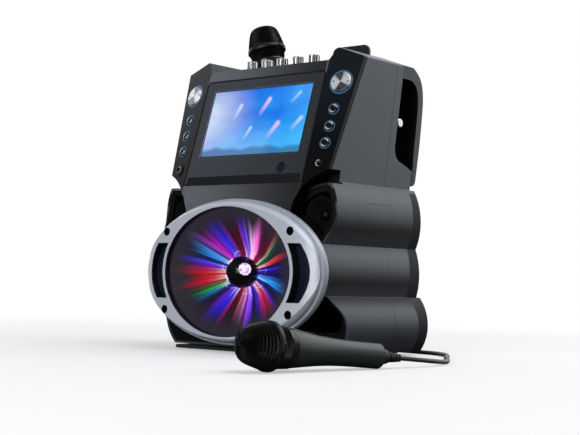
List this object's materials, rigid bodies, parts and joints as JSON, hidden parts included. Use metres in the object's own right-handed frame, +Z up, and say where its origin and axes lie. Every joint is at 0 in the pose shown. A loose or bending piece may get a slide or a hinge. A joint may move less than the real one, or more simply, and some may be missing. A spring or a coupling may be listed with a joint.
{
  "type": "karaoke machine",
  "caption": "Portable karaoke machine with leaning screen, disc tray, lit oval ring, knobs, carrying arch and two hand microphones.",
  "frame": {"origin": "on the floor at the centre of the base", "axes": "+Z up, -Y towards the front with the screen, +X to the right seen from the front"},
  "size_m": [0.4026, 0.5098, 0.3985],
  "materials": {
    "body_plastic": "satin moulded",
    "black_plastic": "matt moulded",
    "column_plastic": "semi-gloss",
    "bezel_plastic": "satin",
    "ring_plastic": "satin silver-blue",
    "screen": "glossy",
    "clear_lens": "clear",
    "reflector": "glossy",
    "ball_gloss": "glossy",
    "slot_light": "translucent",
    "ring_light": "lit",
    "button_plastic": "satin",
    "rubber": "matt",
    "steel": "plated",
    "speaker_cone": "matt",
    "board": "solder mask",
    "drive_plastic": "matt moulded",
    "gear_plastic": "natural acetal",
    "mic_plastic": "satin",
    "mic_mesh": "black coated",
    "mic_switch": "satin",
    "cord": "matt"
  },
  "bodies": {
    "machine": {"front_shell": "body_plastic", "rear_shell": "body_plastic", "carry_handle": "body_plastic", "base_plate": "black_plastic", "rubber_feet": "rubber", "front_baffle": "black_plastic", "top_panel": "body_plastic", "mic_well": "black_plastic", "lcd_bezel": "bezel_plastic", "lcd_module": "screen", "control_panel_left": "column_plastic", "control_panel_right": "column_plastic", "ring_bezel": "ring_plastic", "window_lens": "clear_lens", "light_bowl": "reflector", "ball_motor": "steel", "side_lights": "slot_light", "ring_screws": "steel", "speaker_left": "speaker_cone", "speaker_right": "speaker_cone", "light_rings": "ring_light", "mic_jacks": "steel", "switch_boards": "board", "mixer_board": "board", "loader_chassis": "drive_plastic", "tray_motor": "steel", "traverse_deck": "drive_plastic", "sled_rods": "steel", "rear_jack_panel": "black_plastic", "strap_pegs": "body_plastic", "main_board": "board", "mic_cord": "cord", "cord_coil": "cord", "mic_plug": "steel"},
    "tray": {"disc_tray": "drive_plastic"},
    "gear": {"tray_gear": "gear_plastic"},
    "motor_gear": {"motor_pinion": "gear_plastic"},
    "turntable": {"turntable": "drive_plastic"},
    "sled": {"pickup_sled": "drive_plastic"},
    "clamp": {"clamp_puck": "drive_plastic"},
    "light_ball": {"disco_ball": "ball_gloss"},
    "dial_left": {"dial_left": "button_plastic"},
    "button_left_1": {"button_left_1": "button_plastic"},
    "button_left_2": {"button_left_2": "button_plastic"},
    "button_left_3": {"button_left_3": "button_plastic"},
    "dial_right": {"dial_right": "button_plastic"},
    "button_right_1": {"button_right_1": "button_plastic"},
    "button_right_2": {"button_right_2": "button_plastic"},
    "button_right_3": {"button_right_3": "button_plastic"},
    "knob_1": {"knob_1": "black_plastic"},
    "knob_2": {"knob_2": "black_plastic"},
    "knob_3": {"knob_3": "black_plastic"},
    "knob_4": {"knob_4": "black_plastic"},
    "knob_5": {"knob_5": "black_plastic"},
    "standing_mic": {"holder_mic_body": "mic_plastic", "holder_mic_head": "mic_mesh"},
    "standing_mic_switch": {"holder_mic_switch": "mic_switch"},
    "floor_mic": {"floor_mic_body": "mic_plastic", "floor_mic_head": "mic_mesh", "mic_boot": "cord"},
    "floor_mic_switch": {"floor_mic_switch": "mic_switch"}
  },
  "joints": [
    {"name": "tray_slide", "type": "slide", "parent": "machine", "child": "tray", "axis": [0, -1, 0], "range_m": [0, 0.128]},
    {"name": "gear_spin", "type": "hinge", "parent": "machine", "child": "gear", "pos_m": [-0.044, -0.05, 0.185], "axis": [0, 0, 1], "range_deg": [-1, 917.73]},
    {"name": "motor_spin", "type": "hinge", "parent": "machine", "child": "motor_gear", "pos_m": [-0.0256, -0.05, 0.185], "axis": [0, 0, 1], "range_deg": [-3304.24, 4]},
    {"name": "turntable_spin", "type": "hinge", "parent": "machine", "child": "turntable", "pos_m": [0, -0.009, 0.19], "axis": [0, 0, 1], "continuous": true},
    {"name": "sled_slide", "type": "slide", "parent": "machine", "child": "sled", "axis": [0, 1, 0], "range_m": [0, 0.033]},
    {"name": "clamp_spin", "type": "hinge", "parent": "machine", "child": "clamp", "pos_m": [0, -0.009, 0.205], "axis": [0, 0, 1], "continuous": true},
    {"name": "ball_spin", "type": "hinge", "parent": "machine", "child": "light_ball", "pos_m": [0, -0.0695, 0.092], "axis": [0, 1, 0], "continuous": true},
    {"name": "dial_left_rock", "type": "hinge", "parent": "machine", "child": "dial_left", "pos_m": [-0.11266, -0.03324, 0.30526], "axis": [-0.9854, 0.163, -0.0489], "range_deg": [-2.5, 2.5], "stiffness_Nm_per_rad": 0.15},
    {"name": "button_left_1_press", "type": "slide", "parent": "machine", "child": "button_left_1", "axis": [0.1702, 0.9438, -0.2832], "range_m": [0, 0.001], "stiffness_N_per_m": 600, "springref_m": -0.001},
    {"name": "button_left_2_press", "type": "slide", "parent": "machine", "child": "button_left_2", "axis": [0.1702, 0.9438, -0.2832], "range_m": [0, 0.001], "stiffness_N_per_m": 600, "springref_m": -0.001},
    {"name": "button_left_3_press", "type": "slide", "parent": "machine", "child": "button_left_3", "axis": [0.1702, 0.9438, -0.2832], "range_m": [0, 0.001], "stiffness_N_per_m": 600, "springref_m": -0.001},
    {"name": "dial_right_rock", "type": "hinge", "parent": "machine", "child": "dial_right", "pos_m": [0.11266, -0.03324, 0.30526], "axis": [0.9854, 0.163, -0.0489], "range_deg": [-2.5, 2.5], "stiffness_Nm_per_rad": 0.15},
    {"name": "button_right_1_press", "type": "slide", "parent": "machine", "child": "button_right_1", "axis": [-0.1702, 0.9438, -0.2832], "range_m": [0, 0.001], "stiffness_N_per_m": 600, "springref_m": -0.001},
    {"name": "button_right_2_press", "type": "slide", "parent": "machine", "child": "button_right_2", "axis": [-0.1702, 0.9438, -0.2832], "range_m": [0, 0.001], "stiffness_N_per_m": 600, "springref_m": -0.001},
    {"name": "button_right_3_press", "type": "slide", "parent": "machine", "child": "button_right_3", "axis": [-0.1702, 0.9438, -0.2832], "range_m": [0, 0.001], "stiffness_N_per_m": 600, "springref_m": -0.001},
    {"name": "knob_1_turn", "type": "hinge", "parent": "machine", "child": "knob_1", "pos_m": [-0.0482, -0.0085, 0.335], "axis": [0, 0, 1], "range_deg": [-150, 150]},
    {"name": "knob_2_turn", "type": "hinge", "parent": "machine", "child": "knob_2", "pos_m": [-0.0241, -0.0085, 0.335], "axis": [0, 0, 1], "range_deg": [-150, 150]},
    {"name": "knob_3_turn", "type": "hinge", "parent": "machine", "child": "knob_3", "pos_m": [0, -0.0085, 0.335], "axis": [0, 0, 1], "range_deg": [-150, 150]},
    {"name": "knob_4_turn", "type": "hinge", "parent": "machine", "child": "knob_4", "pos_m": [0.0241, -0.0085, 0.335], "axis": [0, 0, 1], "range_deg": [-150, 150]},
    {"name": "knob_5_turn", "type": "hinge", "parent": "machine", "child": "knob_5", "pos_m": [0.0482, -0.0085, 0.335], "axis": [0, 0, 1], "range_deg": [-150, 150]},
    {"name": "standing_mic_lift", "type": "slide", "parent": "machine", "child": "standing_mic", "axis": [-0.2504, 0, 0.9681], "range_m": [0, 0.11]},
    {"name": "standing_mic_switch_slide", "type": "slide", "parent": "standing_mic", "child": "standing_mic_switch", "axis": [0.2487, 0.1142, -0.9618], "range_m": [0, 0.007]},
    {"name": "floor_mic_lift", "type": "slide", "parent": "machine", "child": "floor_mic", "axis": [0, 0, 1], "range_m": [0, 0.12]},
    {"name": "floor_mic_switch_slide", "type": "slide", "parent": "floor_mic", "child": "floor_mic_switch", "axis": [0.167, 0.9667, -0.194], "range_m": [0, 0.007]}
  ],
  "couplings": [
    {"joint": "gear_spin", "follows": "tray_slide", "rad_per_m": 125},
    {"joint": "motor_spin", "follows": "tray_slide", "rad_per_m": -450}
  ]
}
